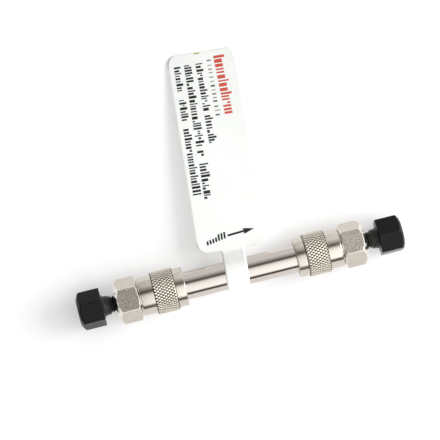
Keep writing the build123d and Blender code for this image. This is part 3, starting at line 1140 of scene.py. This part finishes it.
lines = {
    "tag_marks_red": dict(words=[(63.3, 45.0)], left=3.5, slope=0.034, height=3.1,
                          stroke=0.64, gap=0.44, short=0.1),
    "tag_marks_grey": dict(words=[(62.4, 45.4)], left=1.45, slope=0.0, height=1.6,
                           stroke=0.30, gap=0.92, short=0.0),
    "tag_marks_first": dict(words=[(61.8, 47.4), (46.2, 37.5)], left=-1.9, slope=0.010,
                            height=1.95, stroke=0.46, gap=0.33, growth=1.25),
    "tag_marks_second": dict(words=[(61.8, 37.6), (36.3, 34.2), (32.5, 21.8)], left=-5.2,
                             slope=-0.008, height=2.05, stroke=0.46, gap=0.33, growth=1.3),
    "tag_marks_third": dict(words=[(61.7, 53.6), (51.8, 45.0), (43.2, 23.3)], left=-8.1,
                            slope=-0.011, height=1.85, stroke=0.43, gap=0.33, growth=1.3),
}
inks = {
    "red": print_ink("red_ink", (0.58, 0.075, 0.045), (0.70, 0.20, 0.15)),
    "grey": print_ink("grey_ink", (0.10, 0.10, 0.10), (0.30, 0.30, 0.30)),
    "black": print_ink("black_ink", (0.008, 0.008, 0.009), (0.05, 0.05, 0.05)),
    "olive": print_ink("olive_ink", (0.36, 0.36, 0.03), (0.46, 0.46, 0.12)),
}
for line_name, line in lines.items():
    ink = inks.get(line_name.rsplit("_", 1)[-1], inks["black"])
    marks = ink_blocks(line_name, *run_of_marks(**line))
    seat(marks, "column", "label_tag", "tag_film", ink)

# %% Flow arrow, the marks beside it and the edge spot
arrow_foot, arrow_neck, arrow_tip = (-0.80, 10.9), (3.9, 11.5), (6.9, 11.8)
shaft_half, barb_half, barb_sweep = 0.29, 0.88, 0.2


def make_arrow():
    """Seven corners: a shaft and a head, along the line from foot to tip."""
    foot, neck, tip = (np.array(place) for place in (arrow_foot, arrow_neck, arrow_tip))
    ahead = (tip - foot) / np.linalg.norm(tip - foot)
    left = np.array([-ahead[1], ahead[0]])
    corners = np.array([foot - shaft_half * left, neck - shaft_half * left,
                        neck - barb_half * left - barb_sweep * ahead, tip,
                        neck + barb_half * left - barb_sweep * ahead, neck + shaft_half * left,
                        foot + shaft_half * left])
    return ink_prisms("tag_flow_arrow", corners[None, :, 0], corners[None, :, 1])


arrow = make_arrow()
beside_left, beside_right, beside_foot, beside_slope = -6.9, -1.9, 9.0, 0.24
beside_wide, beside_tall = 0.52, np.array([1.2, 1.2, 1.2, 1.3, 1.9, 1.9, 1.9])
beside_across = np.linspace(beside_left, beside_right, len(beside_tall))
beside_along = beside_foot + (beside_across - beside_left) * beside_slope
beside = ink_blocks("tag_marks_beside_arrow", beside_across, beside_across + beside_wide,
                    beside_along, beside_along + beside_tall)
spot = ink_blocks("tag_edge_spot", *np.array([[-1.9], [-0.3], [64.65], [65.0]]))
for marks, ink_name in ((arrow, "black"), (beside, "black"), (spot, "olive")):
    seat(marks, "column", "label_tag", "tag_film", inks[ink_name])

# %% [markdown]
# ## Floor, light and camera
# Polished steel looks like whatever surrounds it, so the room is the finish. A wide soft source
# overhead and in front gives the long bright stripe on the tube. A dark strip of ceiling behind
# it and a dark horizon in front draw the two dark lines that make it read as a cylinder. The
# floor is white paper, lit until it burns out, with one key light from the front right to throw
# the soft shadow to the left.

# %% Floor
def make_floor(half_side=1500.0):
    """A flat sheet of white paper under the object, on a table that lights it from below."""
    edge = np.linspace(-half_side, half_side, 3)
    along, back = np.meshgrid(edge, edge)
    points = np.stack([along, back, np.full_like(along, floor_height)], axis=-1)
    floor = skin("floor", points, loop_columns=False)
    paper = Recipe("floor_paper", Base_Color=(0.62, 0.62, 0.62, 1), Specular_IOR_Level=0.1,
                   Emission_Color=(1, 1, 1, 1), Emission_Strength=0.38)
    fibres = paper.noise(60, detail=2)
    paper.rough(fibres, 0.85, 0.95)
    floor.data.materials.append(paper.material)
    return floor


floor = make_floor()

# %% Room light by height above the front horizon
room_bands = [
    (0.00, 0.12), (0.03, 0.06), (0.075, 0.08), (0.115, 0.5), (0.15, 1.65), (0.40, 1.42),
    (0.47, 1.15), (0.53, 0.45), (0.565, 0.10), (0.605, 0.11), (0.645, 0.37), (0.73, 0.66),
    (0.78, 0.88), (1.00, 0.88),
]
side_bands = [(0.0, 1.1), (0.03, 1.0), (0.07, 0.14), (0.25, 0.14), (0.38, 0.55), (0.44, 0.80),
              (0.56, 1.12), (0.75, 1.25), (1.0, 1.25)]
brightest, brightest_side = 1.65, 1.25


def warm_shade(radiance):
    """Red, green and blue of a grey source: the dark ones are brown and the bright ones neutral."""
    warmth = float(np.interp(radiance, (0.05, 0.6), (0.14, 0.0)))
    return [radiance / brightest * share for share in (1 + warmth, 1, 1 - warmth)]


def light_room():
    """World light by the angle from the front horizon, over the top, to the back horizon.

    The angle is atan2(z, -y) / pi, and the light from the sides scales it by x.
    """
    world = bpy.data.worlds.new("studio")
    bpy.context.scene.world = world
    world.use_nodes = True
    sky = Wiring(world.node_tree, "Generated")
    axes = sky.axes()
    angle = sky.joined(axes["Z"], sky.joined(axes["Y"], -1, "MULTIPLY"), "ARCTAN2")
    colour = sky.tint(sky.joined(angle, math.pi, "DIVIDE"),
                      *((position, *warm_shade(radiance)) for position, radiance in room_bands))
    sides = sky.tint(sky.spread(axes["X"], 0.0, 1.0, -1.0, 1.0),
                     *((position, *(share / brightest_side,) * 3)
                       for position, share in side_bands))
    strength = sky.joined(sides, brightest * brightest_side, "MULTIPLY")
    background = sky.nodes["Background"]
    sky.links.new(colour, background.inputs["Color"])
    sky.links.new(strength, background.inputs["Strength"])


light_room()


# %% Key light
def aim(thing, place, target):
    """Puts a light or camera at a place, in metres, looking at a target with its top up."""
    thing.location = place
    thing.rotation_euler = (target - place).to_track_quat("-Z", "Y").to_euler()


key_size, key_watts = (0.45, 0.35), 3.6
key_place, key_target = Vector((0.56, -0.06, 0.41)), Vector((0, 0.01, 0))

key = bpy.data.lights.new("key_light", "AREA")
key.shape = "RECTANGLE"
key.size, key.size_y = key_size
key.energy = key_watts
aim(placed("key_light", key), key_place, key_target)
print("key light:", key_watts, "W over", key_size, "m")

# %% Camera
camera_azimuth, camera_elevation = math.radians(-14.15), math.radians(81.24)
camera_distance = 0.684
camera_target = Vector((-0.00195, 0.01564, 0))
lens_mm, sensor_mm = 200, 36

lens_data = bpy.data.cameras.new("camera")
lens_data.lens, lens_data.sensor_width = lens_mm, sensor_mm
camera = placed("camera", lens_data)
backward = Vector((math.sin(camera_azimuth) * math.cos(camera_elevation),
                   -math.cos(camera_azimuth) * math.cos(camera_elevation),
                   math.sin(camera_elevation)))
aim(camera, camera_target + backward * camera_distance, camera_target)
bpy.context.scene.camera = camera
bpy.context.scene.view_settings.view_transform = "Standard"
print("camera at", [round(v, 4) for v in camera.location])
